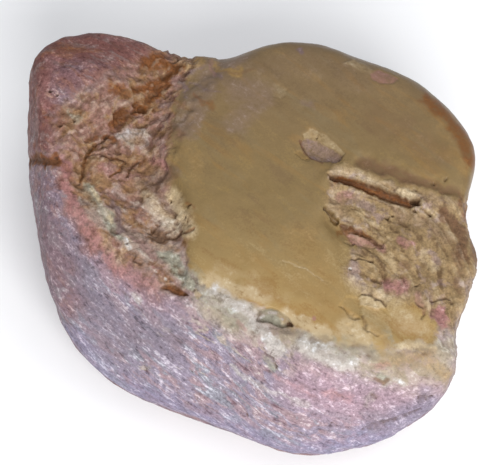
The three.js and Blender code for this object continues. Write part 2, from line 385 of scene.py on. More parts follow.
def lumps(points, size, octaves=4):
    """Soft lumps about as wide as size, from -1 to 1."""
    return np.array([noise.fractal(Vector(point), 1.0, 2.0, octaves) for point in points / size])


def ridges(points, size):
    """Sharp-topped ridges about as wide as size, around 0."""
    return np.array([
        noise.ridged_multi_fractal(Vector(point), 1.0, 2.0, 4, 1.0, 1.6) - 1 for point in points / size
    ])


def ledges(points, fall, spacing):
    """Worn steps that rise slowly along a direction and then drop, from 0 to 1."""
    turns = points @ np.array(fall) / spacing + 1.3 * lumps(points, 2.2 * spacing)
    part = turns - np.floor(turns)
    return ease(part, -0.2, 0.8) * (1 - ease(part, 0.8, 1.0))


line = np.outer(np.arange(6) * MM, LEDGE_FALL)
print("heights along a line of ledges:", ledges(line, LEDGE_FALL, 4 * MM).round(2))

# %% The share of each area at every point
CRUST_END = 40  # millimetres: crust and stains end on the walls at about this height
points, normals = places_and_normals()
facing = normals @ np.array(TOWARD_EYE)
spots = picture_spots(points)
wander = np.column_stack([lumps(points + shift * MM, 8 * MM) for shift in (0, 50)])
jitter = np.column_stack([lumps(points + shift * MM, 2.2 * MM, 3) for shift in (20, 70)])
ragged_spots = spots + 6 * wander + 2.5 * jitter
over_the_edge = facing + 0.008 * (points[:, 2] / MM - CRUST_END)
seen = ease(over_the_edge + 0.15 * wander[:, 0] + 0.06 * jitter[:, 0], -0.1, 0.1)


def share_of(area, blur):
    """How much of each point belongs to an area whose edge is blurred over some pixels."""
    return seen * ease(depth_inside(ragged_spots, area), -blur, blur)


tan_share = share_of(TAN_FACE, 3.5)
broken_share, terrace_share, band_share = (
    share_of(area, 7) for area in (BROKEN_TROUGH, TERRACE, PALE_BAND)
)
rind_share = np.clip(1 - tan_share - (broken_share + terrace_share + band_share), 0, 1)
smooth_slot = ease(distance_to(ragged_spots, SLOT), 3, 8)
for name, share in (("tan", tan_share), ("broken", broken_share), ("rind", rind_share)):
    print(name, "covers", round(float(share.mean()), 3), "of the points")


# %% Heights of each area's relief, in millimetres
def where(share, relief_of, places=points):
    """A relief worked out only where its area has a share."""
    relief = np.zeros(len(points))
    used = share > 0.01
    relief[used] = share[used] * relief_of(places[used])
    return relief


arms = spots - BEND
curved = np.column_stack((
    np.linalg.norm(arms, axis=1) * PIXEL, 10 * MM * np.arctan2(arms[:, 1], arms[:, 0]), points[:, 2],
))
low = ease(spots[:, 1], 160, 210)  # 0 in the upper part of the trough and 1 in the lower
calm_edge = ease(distance_to(ragged_spots, WORN_EDGE), 4, 24)
calm_boss = ease(distance_to(ragged_spots, BOSS), 8, 20)
bare = (1 - tan_share) * (0.2 + 0.8 * calm_edge * calm_boss)
height = where(tan_share, lambda p: 0.5 * lumps(p, 28 * MM) + 0.15 * lumps(p, 6 * MM))
height += where(broken_share * bare, lambda p: (
    1.0 * lumps(p, 12 * MM) + 0.4 * lumps(p, 3 * MM) + 0.15 * lumps(p, 1.5 * MM)
))
height += where(broken_share * bare * (1 - low), lambda p: (
    0.9 * (ledges(p, HUMP_FALL, 8 * MM) - 0.5)
    + 0.2 * ridges(drawn_out(p, TROUGH_RUN, 2.5), 4 * MM)
))
height += where(broken_share * bare * low, lambda p: (
    0.6 * (ledges(drawn_out(p, FLOW, 2.5), LEDGE_FALL, 8 * MM) - 0.5)
    + 0.2 * ridges(drawn_out(p, FLOW, 4), 4 * MM)
))
gritty = terrace_share * bare * smooth_slot
height += where(gritty, lambda p: (
    0.6 * lumps(p, 9 * MM) + 0.3 * lumps(p, 2.8 * MM) + 0.12 * lumps(p, 1.5 * MM)
))
height += where(gritty, lambda p: (
    0.6 * (ledges(p, Vector((1, 0, 0)), 6 * MM) - 0.5) + 0.35 * ridges(p, 4 * MM)
), curved)
height += where(band_share * bare, lambda p: (
    0.8 * lumps(p, 7 * MM)
    + 0.35 * ridges(drawn_out(p, BEDDING, 2), 4 * MM)
    + 0.2 * lumps(p, 1.8 * MM)
))
height += where(rind_share, lambda p: (
    0.7 * lumps(drawn_out(p, BEDDING, 2.2), 14 * MM)
    + 0.45 * lumps(drawn_out(p, BEDDING, 3.5), 4 * MM)
))
height -= 0.5 * broken_share * bare * ease(depth_inside(ragged_spots, TAN_FACE), -10, -2)
print("relief of the areas from", round(height.min(), 2), "to", round(height.max(), 2), "mm")

# %% Heights of the hollows, flakes and cracks
CRACK_WIDTH = 2.7  # narrower strokes that are deeper than the next value are cracks
CRACK_DEPTH = 0.3
FOOT_TOP = 5 * MM  # the spot that the stone rests on stays flat, and the relief grows above it

in_front = ease(facing, 0.02, 0.2)
shape_spots = spots + 1.5 * wander + 1.0 * jitter
shape_shares = {}
for name, (rise, *_, outline) in SHAPES.items():
    slope = 0.9 + 0.4 * abs(rise)  # deeper hollows have wider sides
    shape_shares[name] = in_front * ease(depth_inside(shape_spots, outline), -slope, slope)
    height += rise * shape_shares[name]
height += shape_shares["oval scar"] * 0.4 * lumps(drawn_out(points, FLOW, 2.5), 2.4 * MM)

cut_spots = spots + 3.0 * wander + 1.6 * jitter
thickness = 1 + 0.7 * lumps(points, 4 * MM)
crack = np.zeros(len(points))
for width, rise, stroke in strokes:
    away = distance_to(cut_spots, stroke) / thickness
    profile = in_front * (1 - ease(away, 0.2 * width, 1.25 * width))
    height += rise * profile
    if width < CRACK_WIDTH and rise < -CRACK_DEPTH:
        crack = np.maximum(crack, profile)
height *= ease(points[:, 2], 0.2 * MM, FOOT_TOP)
print("relief from", round(height.min(), 2), "to", round(height.max(), 2), "mm")

# %% [markdown]
# ## Hollows collect rust and painted shade
# Iron stains settle in crevices, and the crevices are also painted darker as shade. Edges are painted
# pale, as wear and as a painted highlight. A crevice is a place that lies lower than its neighbourhood,
# so the relief is compared with a blurred copy of itself.

# %% Find the crevices
BLUR_PASSES = 14
DEEP_CREVICE = 0.5  # millimetres
ends = np.array([[vertex.index for vertex in edge.verts] for edge in stone_mesh.edges])
neighbours = np.bincount(ends.ravel(), minlength=len(points))
blurred = height.copy()
for _ in range(BLUR_PASSES):
    total = np.bincount(ends[:, 0], blurred[ends[:, 1]], len(points))
    total += np.bincount(ends[:, 1], blurred[ends[:, 0]], len(points))
    blurred = 0.5 * blurred + 0.5 * total / neighbours
crevice = np.clip((blurred - height) / DEEP_CREVICE, -1, 1)
print("crevices cover", round(float((crevice > 0.3).mean()), 3), "of the points")

# %% Move the points and make the stone
lowest, highest = (np.array(corner) for corner in cad_box)
moved = np.clip(points + normals * height[:, None] * MM, lowest, highest)
for vertex, place in zip(stone_mesh.verts, moved):
    vertex.co = place
for face in stone_mesh.faces:
    face.smooth = True
stone_data = bpy.data.meshes.new("quartzite_stone")
stone_mesh.to_mesh(stone_data)
stone_mesh.free()
stone = bpy.data.objects.new("quartzite_stone", stone_data)
bpy.context.scene.collection.objects.link(stone)
print("stone:", len(stone_data.polygons), "triangles")

# %% [markdown]
# ## Stains
# Iron, clay and clear quartz stain the stone in patches, and some strokes paint light instead: painted
# shade and shadow, painted glints and a painted bluish sky tint. They are drawn as strokes too: a half
# width in pixels, a strength and the stroke. Each kind of stain becomes one attribute of the mesh, and
# the material gives it its colour.

# %% Strokes of colour
STAINS = {
    "mauve": [
        (30, 1.0, [(60, 48), (100, 48), (140, 56)]),
        (24, 1.0, [(40, 60), (40, 100), (42, 140)]),
        (22, 0.8, [(58, 76), (80, 82), (104, 72)]),
        (20, 0.45, [(40, 150), (40, 200), (50, 250), (66, 300)]),
        (12, 0.8, [(64, 175), (70, 196), (80, 222), (96, 246)]),
        (10, 0.5, [(110, 262), (140, 282), (160, 296)]),
    ],
    "pink": [
        (26, 1.0, [(300, 385), (340, 400), (390, 402), (430, 392)]),
        (14, 0.8, [(300, 366), (330, 376), (360, 386)]),
        (16, 0.6, [(90, 258), (130, 285), (170, 305)]),
        (10, 0.7, [(98, 242), (112, 256), (126, 266)]),
    ],
    # A bluish tint along the bottom edges: painted light, the cool sky on the rind.
    "blue": [
        (16, 0.6, [(66, 335), (110, 385), (190, 418), (290, 455)]),
        (16, 0.7, [(290, 455), (340, 452), (390, 435), (430, 408)]),
    ],
    "haze": [
        (13, 0.7, [(238, 60), (212, 74), (198, 100), (188, 130)]),
        (20, 0.3, [(250, 70), (300, 60), (360, 80)]),
        (18, 0.6, [(236, 88), (262, 96), (240, 120)]),
        (8, 0.5, [(345, 198), (356, 202)]),
        (9, 0.5, [(396, 213), (428, 220), (446, 240)]),
        (10, 0.6, [(140, 186), (160, 180), (172, 170)]),
    ],
    "gold": [
        (14, 0.6, [(296, 284), (320, 298), (338, 312)]),
        (22, 0.5, [(302, 236), (322, 268), (330, 300)]),
        (14, 0.4, [(240, 258), (268, 266), (290, 274)]),
        (12, 0.3, [(220, 236), (236, 246)]),
        (16, 0.3, [(430, 130), (448, 150)]),
        (12, 0.55, [(384, 358), (420, 360), (436, 364), (446, 374)]),
        (7, 0.5, [(440, 128), (452, 150), (462, 172)]),
        (6, 0.6, [(182, 64), (196, 64), (210, 62)]),
        (4, 0.9, [(218, 67), (228, 70), (242, 70)]),
        (10, 0.4, [(184, 148), (196, 160), (196, 180)]),
        (6, 0.4, [(160, 244), (172, 248)]),
    ],
    # Brown stains, and painted shadow under the boss, in and under the grey pit, along the shaded edges of
    # the scar and the wedge, and in dark holes.
    "umber": [
        (8, 0.7, [(364, 163), (400, 174), (440, 187), (462, 198)]),
        (28, 0.4, [(380, 122), (412, 138), (436, 152)]),
        (6, 1.0, [(440, 212), (450, 222), (458, 236), (462, 256)]),
        (8, 0.8, [(470, 214), (474, 240), (478, 262)]),
        (6, 0.6, [(452, 246), (458, 266), (460, 290)]),
        (4, 0.95, [(150, 234), (166, 238), (180, 234)]),
        (2, 0.5, [(222, 71), (240, 73), (254, 69)]),
        (2.5, 0.45, [(260, 315), (266, 313), (273, 313), (281, 317), (288, 324)]),
        (5, 0.4, [(314, 338), (324, 341)]),
        (5, 0.4, [(318, 350), (332, 356), (344, 358)]),
        (6, 0.4, [(352, 346), (366, 354), (380, 358)]),
        (6, 0.4, [(396, 372), (412, 364), (430, 354)]),
        (2.5, 1.0, [(287, 323), (290, 325)]),
        (5, 0.4, [(262, 328), (280, 330), (300, 337)]),
        (1.8, 1.0, [(301, 140), (305, 151), (311, 158), (322, 162)]),
        (5, 0.35, [(330, 152), (338, 157)]),
        (2.6, 0.8, [(341, 226), (352, 231), (366, 238), (378, 246)]),
        (3, 0.8, [(404, 201), (416, 203)]),
        (5, 0.6, [(398, 264), (410, 268)]),
        (4, 0.6, [(108, 140), (120, 150)]),
        (6, 0.5, [(66, 112), (72, 126)]),
        (3, 0.7, [(374, 379), (384, 384), (388, 380)]),
        (8, 0.35, [(400, 362), (424, 372), (440, 384)]),
    ],
    # Darker rind on the lower left and along the bottom: painted shade.
    "slate": [
        (26, 0.8, [(56, 240), (84, 296), (120, 336), (168, 338)]),
        (14, 0.5, [(376, 420), (404, 416), (426, 406)]),
        (14, 0.5, [(140, 318), (165, 322)]),
    ],
    "rust": [
        (11, 1.0, [(118, 119), (124, 116)]),
        (7, 1.0, [(139, 110), (144, 107)]),
        (5, 1.0, [(150, 98), (160, 90), (168, 78), (172, 66)]),
        (7, 1.0, [(146, 62), (160, 60), (174, 66)]),
        (6, 1.0, [(134, 88), (150, 86), (168, 84)]),
        (7, 0.8, [(114, 88), (124, 94)]),
        (3.5, 0.7, [(92, 138), (108, 138), (114, 142)]),
        (1.7, 0.8, [(96, 144), (87, 155), (84, 169), (81, 180)]),
        (1.5, 0.8, [(104, 156), (124, 160), (118, 171), (110, 177)]),
        (1.5, 0.6, [(137, 161), (130, 168), (127, 177)]),
        (6, 1.3, [(33, 160), (44, 162), (55, 162)]),
        (5, 0.8, [(340, 181), (360, 187), (380, 195), (408, 203)]),
        (8, 0.7, [(425, 98), (445, 115), (462, 137), (470, 165)]),
        (6, 0.5, [(462, 205), (468, 222), (472, 242)]),
        (2.2, 0.6, [(196, 96), (208, 104)]),
        (4, 0.5, [(204, 100), (210, 108)]),
        (5, 0.4, [(170, 118), (176, 126), (182, 138)]),
        (2.5, 0.5, [(188, 202), (194, 208)]),
        (1.6, 0.6, [(184, 235), (194, 227)]),
        (4, 0.5, [(60, 166), (72, 176)]),
        (4, 0.4, [(169, 168), (173, 177)]),
        (5, 0.5, [(46, 54), (60, 48), (78, 46)]),
        (3.5, 0.6, [(336, 234), (350, 230), (368, 238)]),
        (4, 0.4, [(198, 294)]),
        (5, 0.5, [(62, 110), (64, 130)]),
    ],
    "rose": [
        (8, 0.9, [(63, 166), (66, 184), (72, 202)]),
        (9, 0.75, [(74, 206), (84, 222), (96, 240)]),
        (9, 0.65, [(98, 244), (108, 258), (122, 270)]),
        (7, 0.5, [(126, 274), (140, 282), (156, 287)]),
        (10, 0.2, [(84, 108), (100, 112)]),
        (8, 0.5, [(96, 166), (110, 172)]),
        (5, 0.45, [(136, 238), (146, 248), (160, 260), (176, 280)]),
        (4, 0.45, [(276, 372), (296, 384), (318, 398)]),
        (4, 0.5, [(211, 64), (214, 70)]),
        (5, 0.7, [(156, 162), (164, 166)]),
        (9, 0.8, [(386, 285), (402, 287)]),
        (6, 1.0, [(437, 310), (443, 326)]),
        (6, 0.6, [(376, 367), (388, 364)]),
        (9, 0.3, [(228, 336), (262, 352), (300, 366), (330, 378)]),
        (6, 0.6, [(347, 236), (362, 243), (378, 249)]),
        (5, 0.7, [(402, 242), (408, 245)]),
        (3, 0.8, [(314, 318)]),
        (6, 0.5, [(338, 198), (348, 199)]),
        (8, 0.5, [(330, 392), (350, 398)]),
        (7, 0.5, [(56, 62), (44, 84), (42, 108)]),
        (5, 0.5, [(416, 300), (424, 310)]),
        (4, 0.5, [(156, 265), (164, 268)]),
        (3, 0.5, [(238, 322), (246, 330)]),
    ],
    "plum": [
        (3.5, 1.0, [(299, 55)]),
        (5, 0.45, [(306, 102), (313, 101)]),
        (7, 0.35, [(168, 112), (176, 128), (182, 138)]),
        (4, 0.6, [(165, 106), (176, 108)]),
        (4, 0.8, [(182, 88), (187, 95)]),
        (6, 0.9, [(112, 204), (118, 218), (125, 230)]),
        (6, 0.35, [(136, 236), (144, 246), (156, 258), (166, 270), (179, 286)]),
        (8, 0.5, [(150, 186), (162, 200), (172, 212)]),
        (5, 0.5, [(88, 92), (104, 80), (118, 74)]),
        (7, 0.6, [(182, 68), (192, 70)]),
        (3, 0.6, [(200, 70), (210, 64), (222, 78)]),
        (2, 0.5, [(190, 86), (206, 90), (220, 92)]),
    ],
    # Pale quartz grains, and some painted glints of reflected light on the rind.
    "quartz": [
        (2.2, 1.0, [(261, 317), (264, 315)]),
        (2.0, 1.0, [(270, 313), (275, 313)]),
        (1.8, 0.9, [(281, 318)]),
        (4, 0.5, [(236, 370), (258, 384), (286, 396), (308, 404)]),
        (12, 0.35, [(148, 200), (160, 216), (170, 226)]),
        (3, 0.5, [(101, 204), (106, 214)]),
        (3, 0.8, [(126, 240), (129, 247)]),
        (4, 0.35, [(342, 216), (348, 221)]),
        (2, 1.0, [(166, 279)]),
        (2, 0.7, [(350, 269)]),
        (8, 0.55, [(121, 138), (134, 136), (141, 138)]),
        (5, 0.7, [(134, 294), (140, 302)]),
        # The next two strokes are white quartz and painted glints of reflected light.
        (9, 1.2, [(270, 340), (276, 350)]),
        (4, 0.7, [(231, 366), (246, 380)]),
        (10, 0.8, [(302, 346), (330, 357), (350, 365)]),
        (9, 0.75, [(214, 290), (240, 306), (262, 330)]),
        (5, 0.6, [(396, 380), (404, 384)]),
        (5, 0.4, [(115, 188), (124, 196)]),
    ],
    "cream": [
        (1.1, 0.55, [(284, 260), (303, 269), (323, 280)]),
        (8, 0.35, [(146, 148), (156, 152)]),
        # The ledge over the slot is painted pale: partly its own colour, partly a painted highlight on its
        # lit wall.
        (6, 0.4, [(337, 168), (356, 172), (384, 184)]),
        (6, 0.8, [(400, 190), (412, 194)]),
        (12, 0.6, [(148, 200), (160, 214), (174, 226)]),
        (11, 0.8, [(172, 196), (184, 214), (188, 230)]),
        (14, 0.7, [(345, 326), (366, 338)]),
        (14, 0.5, [(396, 316), (420, 328)]),
        (10, 0.5, [(350, 286), (372, 292), (392, 306)]),
        (9, 0.35, [(216, 268), (236, 276), (262, 286), (286, 300)]),
        (6, 0.7, [(404, 346), (420, 348), (430, 350)]),
        (8, 0.8, [(206, 278), (226, 284), (248, 292), (266, 300)]),
        (9, 0.9, [(284, 316), (302, 323), (324, 332)]),
        (5, 0.6, [(320, 330), (344, 336)]),
        (4, 0.6, [(358, 214), (374, 223)]),
        (3, 0.6, [(92, 190), (102, 206), (112, 222)]),
        (7, 0.5, [(102, 240), (112, 254), (118, 262)]),
        (5, 0.6, [(420, 254), (436, 268)]),
        (4, 0.4, [(120, 262), (130, 240)]),
    ],
    "green": [
        (9, 1.0, [(166, 258), (176, 270), (188, 284)]),
        (5, 0.8, [(88, 184), (96, 197), (106, 214), (116, 230), (123, 240)]),
        (11, 0.5, [(344, 340), (362, 348), (382, 360)]),
        (6, 0.5, [(384, 330), (392, 340)]),
        (9, 0.6, [(192, 276), (206, 296), (230, 312), (258, 330)]),
        (6, 0.7, [(314, 334), (329, 339)]),
        (7, 0.7, [(312, 347), (330, 354), (350, 360)]),
        (6, 0.7, [(378, 378), (386, 382)]),
        (7, 0.4, [(384, 336), (398, 348)]),
        (10, 0.5, [(300, 336), (340, 347), (370, 355), (400, 362)]),
        (4, 0.5, [(366, 404), (374, 392)]),
        (4, 0.6, [(72, 113), (75, 122)]),
        (6, 0.5, [(86, 188), (100, 212), (124, 240)]),
        (5, 0.5, [(125, 140), (132, 146)]),
        (6, 0.7, [(264, 358), (272, 365)]),
    ],
}
print("strokes:", {stain: len(marks) for stain, marks in STAINS.items()})


# %% Store each stain as an attribute
THIN_STAIN = 3  # a half width in pixels: thinner stains follow the cracks and edges closely


def keep(name, values):
    """Stores one number for each point of the stone, for the material to read."""
    attribute = stone_data.attributes.new(name, "FLOAT", "POINT")
    attribute.data.foreach_set("value", values.astype(np.float32))


for stain, marks in STAINS.items():
    amount = np.zeros(len(points))
    for width, strength, stroke in marks:
        away = distance_to(ragged_spots if width > THIN_STAIN else shape_spots, stroke)
        amount = np.maximum(amount, strength * (1 - ease(away, 0.2 * width, 1.5 * width)))
    for name, (_, filler, strength, _) in SHAPES.items():
        if filler == stain:
            amount = np.maximum(amount, strength * shape_shares[name])
    if stain == "mauve":
        amount = seen * amount + 0.5 * (1 - seen)
    else:
        amount *= seen
    keep(stain, amount)
    print(stain, "covers", round(float((amount > 0.3).mean()), 4))

# %% Store the crust and what lies under it
# Whatever is nearest lies there, so that the crust's ragged edge never uncovers plain rind.
weights = {
    name: seen * np.exp(np.clip(depth_inside(ragged_spots, area) / 4, -20, 4))
    for name, area in (("broken", BROKEN_TROUGH), ("terrace", TERRACE), ("band", PALE_BAND))
}
weights["terrace"] += shape_shares["oval scar"]  # its floor is bare, like the terrace
rind_weight = 1 - 0.999 * seen * ease(depth_inside(ragged_spots, TAN_FACE), -10, 0)
for name, weight in weights.items():
    keep(name, weight / (rind_weight + sum(weights.values())))

tan_edge = depth_inside(ragged_spots + 6 * wander[:, ::-1], TAN_FACE)
near_band = depth_inside(ragged_spots, PALE_BAND)
crust = seen * ease(tan_edge, -12, 12) * (1 - 0.9 * shape_shares["oval scar"])
curl = 0.5 + where(terrace_share, lambda p: 0.3 * lumps(p, 2.6 * MM), curved)  # lines along the ridges
for name, values in (
    ("tan", crust), ("near", seen * ease(near_band, -50, 0)), ("low", low),
    ("crevice", crevice), ("crack", crack), ("curl", curl),
):
    keep(name, values)
print("attributes:", len(stone_data.attributes))

# %% [markdown]
# ## Writing a material as sums
# A node tree is easier to read as arithmetic. A small class wraps a socket, and adding or multiplying
# it adds the Math node that does so. Every other node comes from one method.

# %% A socket that can be added and multiplied
class Wire:
    """One socket of a material. Arithmetic with it adds Math nodes."""

    def __init__(self, tree, socket=None):
        self.tree = tree
        self.socket = socket

    def node(self, kind, settings=None, inputs=None, output=0):
        """Adds a node: first its settings, then the values or links of its sockets."""
        made = self.tree.nodes.new(kind)
        for name, value in (settings or {}).items():
            setattr(made, name, value)
        for key, value in (inputs or {}).items():
            if isinstance(value, Wire):
                self.tree.links.new(value.socket, made.inputs[key])
            else:
                made.inputs[key].default_value = value
        return Wire(self.tree, made.outputs[output] if made.outputs else None)

    def math(self, operation, *values):
        return self.node("ShaderNodeMath", {"operation": operation}, dict(enumerate(values)))

    def __add__(self, other):
        return self.math("ADD", self, other)

    def __sub__(self, other):
        return self.math("SUBTRACT", self, other)

    def __rsub__(self, other):
        return self.math("SUBTRACT", other, self)

    def __mul__(self, other):
        return self.math("MULTIPLY", self, other)

    __radd__ = __add__
    __rmul__ = __mul__

    def between(self, low, high):
        """A smooth step from 0 at low to 1 at high."""
        return self.node(
            "ShaderNodeMapRange", {"interpolation_type": "SMOOTHSTEP"},
            {"Value": self, "From Min": low, "From Max": high},
        )

    def mix(self, first, second, blend="MIX"):
        """The first colour where this is 0, and the second, or a blend with it, where it is 1."""
        first, second = ((*c, 1) if isinstance(c, tuple) else c for c in (first, second))
        settings = {"data_type": "RGBA", "blend_type": blend}
        return self.node("ShaderNodeMix", settings, {0: self, 6: first, 7: second}, output=2)

    def tones(self, dark, middle, light):
        """Three colours for the dark, middle and light parts of a noise."""
        return self.between(0.52, 0.61).mix(self.between(0.39, 0.48).mix(dark, middle), light)

    def grain(self, size, detail=3.0, roughness=0.55, distortion=0.0, seed=0.0):
        """Noise on these coordinates, about as wide as size, from 0 to 1."""
        return self.node("ShaderNodeTexNoise", {"noise_dimensions": "4D"}, {
            "Vector": self, "W": seed, "Scale": 1 / size, "Detail": detail, "Roughness": roughness,
            "Distortion": distortion,
        })

    def attribute(self, name):
        return self.node("ShaderNodeAttribute", {"attribute_name": name}, None, output=2)

    def drawn_out(self, direction, stretch):
        """These coordinates squeezed along a direction, to draw a noise out along it."""
        along = self.node("ShaderNodeVectorMath", {"operation": "DOT_PRODUCT"}, {0: self, 1: direction}, 1)
        shift = self.node(
            "ShaderNodeVectorMath", {"operation": "SCALE"},
            {0: direction, "Scale": along * (1 - 1 / stretch)},
        )
        return self.node("ShaderNodeVectorMath", {"operation": "SUBTRACT"}, {0: self, 1: shift})


print("a Wire has", [name for name in vars(Wire) if not name.startswith("_")])

# %% [markdown]
# ## The stone's colours
# Each area has its own way of being coloured: the rind is speckled and drawn out along the bedding,
# the tan face is waxy with slow cloudy changes and painted lighter toward the front, and broken stone
# is pale on its edges, partly a painted highlight, and rusty and painted dark as shade in its crevices.
# The areas are laid over one another, then the stains go on top with ragged edges.

# %% Patterns that the areas share
stone_look = bpy.data.materials.new("weathered_quartzite")
stone_look.use_nodes = True
tree = stone_look.node_tree
tree.nodes.clear()
start = Wire(tree)
place = start.node("ShaderNodeTexCoord", None, None, output=3)
bedded = place.drawn_out(tuple(BEDDING), 3)
flowing = place.drawn_out(tuple(FLOW), 4)
running = place.drawn_out(tuple(TROUGH_RUN), 4)
depth = place.node("ShaderNodeSeparateXYZ", None, {0: place}, output=1)
at = {
    name: start.attribute(name)
    for name in ("tan", "low", "near", "broken", "terrace", "band", "crevice", "crack", "curl", *STAINS)
}

speck = place.grain(0.7 * MM, 2)
grit = place.grain(1.7 * MM, 4, 0.6, 0.4)
mottle = place.grain(5.5 * MM, 5, 0.6, 0.6)
patch = place.grain(16 * MM, 4, 0.55, 0.4)
streak = bedded.grain(1.2 * MM, 5, 0.7, 0.3)
cloudy = flowing.grain(9 * MM, 5, 0.6, 0.3)
flow = flowing.grain(2.2 * MM, 5, 0.62, 0.5)
run = running.grain(2.2 * MM, 5, 0.62, 0.5)
fibre = place.drawn_out(tuple(BEDDING), 5).grain(0.75 * MM, 3, 0.65, 0.9, 11.0)
print("patterns:", len(tree.nodes), "nodes")

# %% The rind: lilac in front, mauve behind and on the hump, pink at the front right, with painted shade on the lower left and a painted bluish sky tint along the bottom
broad = place.drawn_out(tuple(BEDDING), 2.5)
rosy_part, grey_part, cream_part = (broad.grain(size * MM, 5, 0.65, 0.8, size) for size in (5, 6, 4))
bands = bedded.grain(3.5 * MM, 4, 0.6, 0.3, 7.0)
rind_tone = 1.4 * (0.32 * streak + 0.2 * fibre + 0.2 * bands + 0.13 * grit + 0.15 * mottle) - 0.2
rind = rind_tone.tones((0.105, 0.082, 0.11), (0.225, 0.188, 0.24), (0.5, 0.45, 0.51))
rosy_rind = rind_tone.tones((0.13, 0.075, 0.09), (0.27, 0.19, 0.21), (0.5, 0.41, 0.42))
grey_rind = rind_tone.tones((0.105, 0.097, 0.12), (0.22, 0.21, 0.245), (0.48, 0.48, 0.53))
cream_rind = rind_tone.tones((0.21, 0.165, 0.14), (0.36, 0.305, 0.265), (0.55, 0.5, 0.45))
rind = rosy_part.between(0.46, 0.56).mix(rind, rosy_rind)
rind = grey_part.between(0.52, 0.6).mix(rind, grey_rind)
rind = (cream_part + 0.1 * at["near"]).between(0.6, 0.7).mix(rind, cream_rind)
pink_rind = rind_tone.tones((0.15, 0.095, 0.115), (0.275, 0.19, 0.225), (0.48, 0.37, 0.42))
# a bluish copy of the rind, for the painted sky tint
blue_rind = rind_tone.tones((0.12, 0.102, 0.155), (0.2, 0.178, 0.265), (0.38, 0.34, 0.44))
# a darker copy of the rind, for painted shade
slate_rind = rind_tone.tones((0.09, 0.074, 0.092), (0.17, 0.14, 0.172), (0.32, 0.28, 0.32))
mauve_rind = rind_tone.tones((0.095, 0.03, 0.025), (0.16, 0.065, 0.057), (0.27, 0.138, 0.12))
ruddy_rind = rind_tone.tones((0.1, 0.03, 0.018), (0.19, 0.075, 0.05), (0.3, 0.16, 0.11))
ashy_rind = rind_tone.tones((0.115, 0.06, 0.054), (0.195, 0.115, 0.106), (0.3, 0.205, 0.188))
mauve_rind = rosy_part.between(0.5, 0.6).mix(mauve_rind, ruddy_rind)
mauve_rind = grey_part.between(0.5, 0.6).mix(mauve_rind, ashy_rind)
rinds = {"pink": pink_rind, "blue": blue_rind, "slate": slate_rind, "mauve": mauve_rind}
for name, its_rind in rinds.items():
    rind = at[name].mix(rind, its_rind)
print("with the rind:", len(tree.nodes), "nodes")

# %% The tan face: ochre, warmer toward the front, greyer along its back and left, and painted lighter at the front and darker behind as painted light and shade
tan_tone = 1.25 * (0.4 * cloudy + 0.3 * patch + 0.15 * flow + 0.15 * speck) - 0.125
# Lit and shaded copies of the tan: painted light, brighter at the front and darker toward the back.
lit_tan_front = tan_tone.tones((0.27, 0.158, 0.052), (0.315, 0.21, 0.082), (0.39, 0.29, 0.145))
shaded_tan_back = tan_tone.tones((0.172, 0.112, 0.05), (0.194, 0.13, 0.054), (0.222, 0.148, 0.056))
shaded_tan_far = tan_tone.tones((0.146, 0.094, 0.046), (0.168, 0.11, 0.053), (0.194, 0.128, 0.06))
tan_place = depth + 30 * MM * (patch - 0.5)
tan_colour = tan_place.between(-48 * MM, 5 * MM).mix(lit_tan_front, shaded_tan_back)
tan_colour = tan_place.between(5 * MM, 60 * MM).mix(tan_colour, shaded_tan_far)
tan_orange = flowing.grain(7 * MM, 5, 0.6, 0.8, 3.0).between(0.5, 0.66) * 0.3
tan_colour = tan_orange.mix(tan_colour, (0.26, 0.135, 0.035))
tan_grey = flowing.grain(8 * MM, 5, 0.6, 0.8, 5.0).between(0.54, 0.68) * 0.3
tan_colour = tan_grey.mix(tan_colour, (0.19, 0.15, 0.085))
print("with the tan face:", len(tree.nodes), "nodes")

# %% The broken trough, the terrace and the pale band
# The trough is mauve, cream and brown, mixed at every size.
broken_tone = 0.55 * (run * (1 - at["low"]) + flow * at["low"]) + 0.3 * mottle + 0.15 * grit
broken_colour = broken_tone.tones((0.125, 0.052, 0.016), (0.22, 0.12, 0.056), (0.32, 0.22, 0.12))
broken_rosy = broken_tone.tones((0.13, 0.055, 0.04), (0.215, 0.112, 0.084), (0.32, 0.21, 0.17))
broken_grey = broken_tone.tones((0.17, 0.115, 0.09), (0.29, 0.21, 0.17), (0.4, 0.33, 0.28))
broken_colour = (0.5 * patch + 0.5 * mottle).between(0.45, 0.55).mix(broken_colour, broken_rosy)
greyness = at["low"] * (0.5 * cloudy + 0.5 * mottle)
broken_colour = greyness.between(0.44, 0.56).mix(broken_colour, broken_grey)

# The terrace is the same crust as the tan face, worn and gritty.
terrace_tone = 0.5 * at["curl"] + 0.2 * flow + 0.15 * mottle + 0.15 * grit
terrace_colour = terrace_tone.tones((0.14, 0.082, 0.036), (0.255, 0.17, 0.08), (0.37, 0.27, 0.15))
terrace_rosy = terrace_tone.tones((0.15, 0.092, 0.068), (0.26, 0.178, 0.135), (0.38, 0.29, 0.235))
terrace_colour = (0.5 * patch + 0.5 * mottle).between(0.52, 0.6).mix(terrace_colour, terrace_rosy)

# The pale band between the tan face and the rind.
band_tone = 0.4 * streak + 0.35 * mottle + 0.25 * grit
band_colour = band_tone.tones((0.2, 0.155, 0.1), (0.305, 0.25, 0.18), (0.43, 0.38, 0.3))
band_rosy = band_tone.tones((0.22, 0.16, 0.135), (0.34, 0.27, 0.235), (0.47, 0.41, 0.37))
band_colour = rosy_part.between(0.46, 0.56).mix(band_colour, band_rosy)

colour = at["broken"].mix(rind, broken_colour)
colour = at["terrace"].mix(colour, terrace_colour)
colour = at["band"].mix(colour, band_colour)
colour = (at["tan"] + 0.6 * (mottle - 0.5) + 0.3 * (grit - 0.5)).between(0.25, 0.75).mix(colour, tan_colour)
print("with the broken stone:", len(tree.nodes), "nodes")

